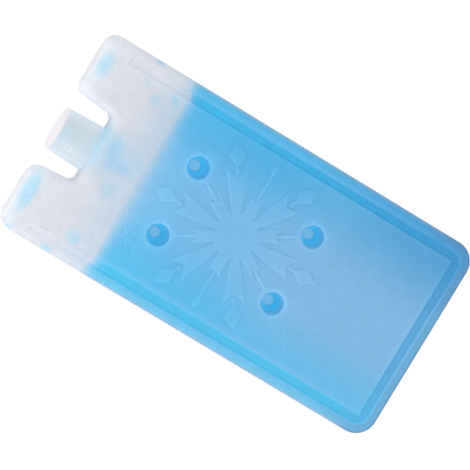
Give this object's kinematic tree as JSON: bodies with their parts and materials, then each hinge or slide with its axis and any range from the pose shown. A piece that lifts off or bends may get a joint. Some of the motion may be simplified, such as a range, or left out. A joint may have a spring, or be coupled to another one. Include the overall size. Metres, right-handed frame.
{
  "type": "reusable ice pack",
  "caption": "Flat translucent ice pack bottle with a raised snowflake, tie-through pits, a neck set in an end notch under a smooth cap, and blue coolant inside",
  "frame": {"origin": "centre of the bounding box at the height of the face the pack lies on", "axes": "+X runs along the pack from the neck end to the blunt end, +Y across it, +Z out of the face with the snowflake"},
  "size_m": [0.259, 0.133, 0.0307],
  "materials": {
    "frosted_shell": "frosted natural polyethylene, translucent",
    "blue_coolant": "blue water gel, seen through the shell",
    "cap_plastic": "smooth natural polyethylene, translucent",
    "seal_foam": "soft white sealing foam"
  },
  "bodies": {
    "root": {"shell": "frosted_shell", "coolant": "blue_coolant", "cap": "cap_plastic", "cap_seal": "seal_foam"}
  },
  "joints": []
}
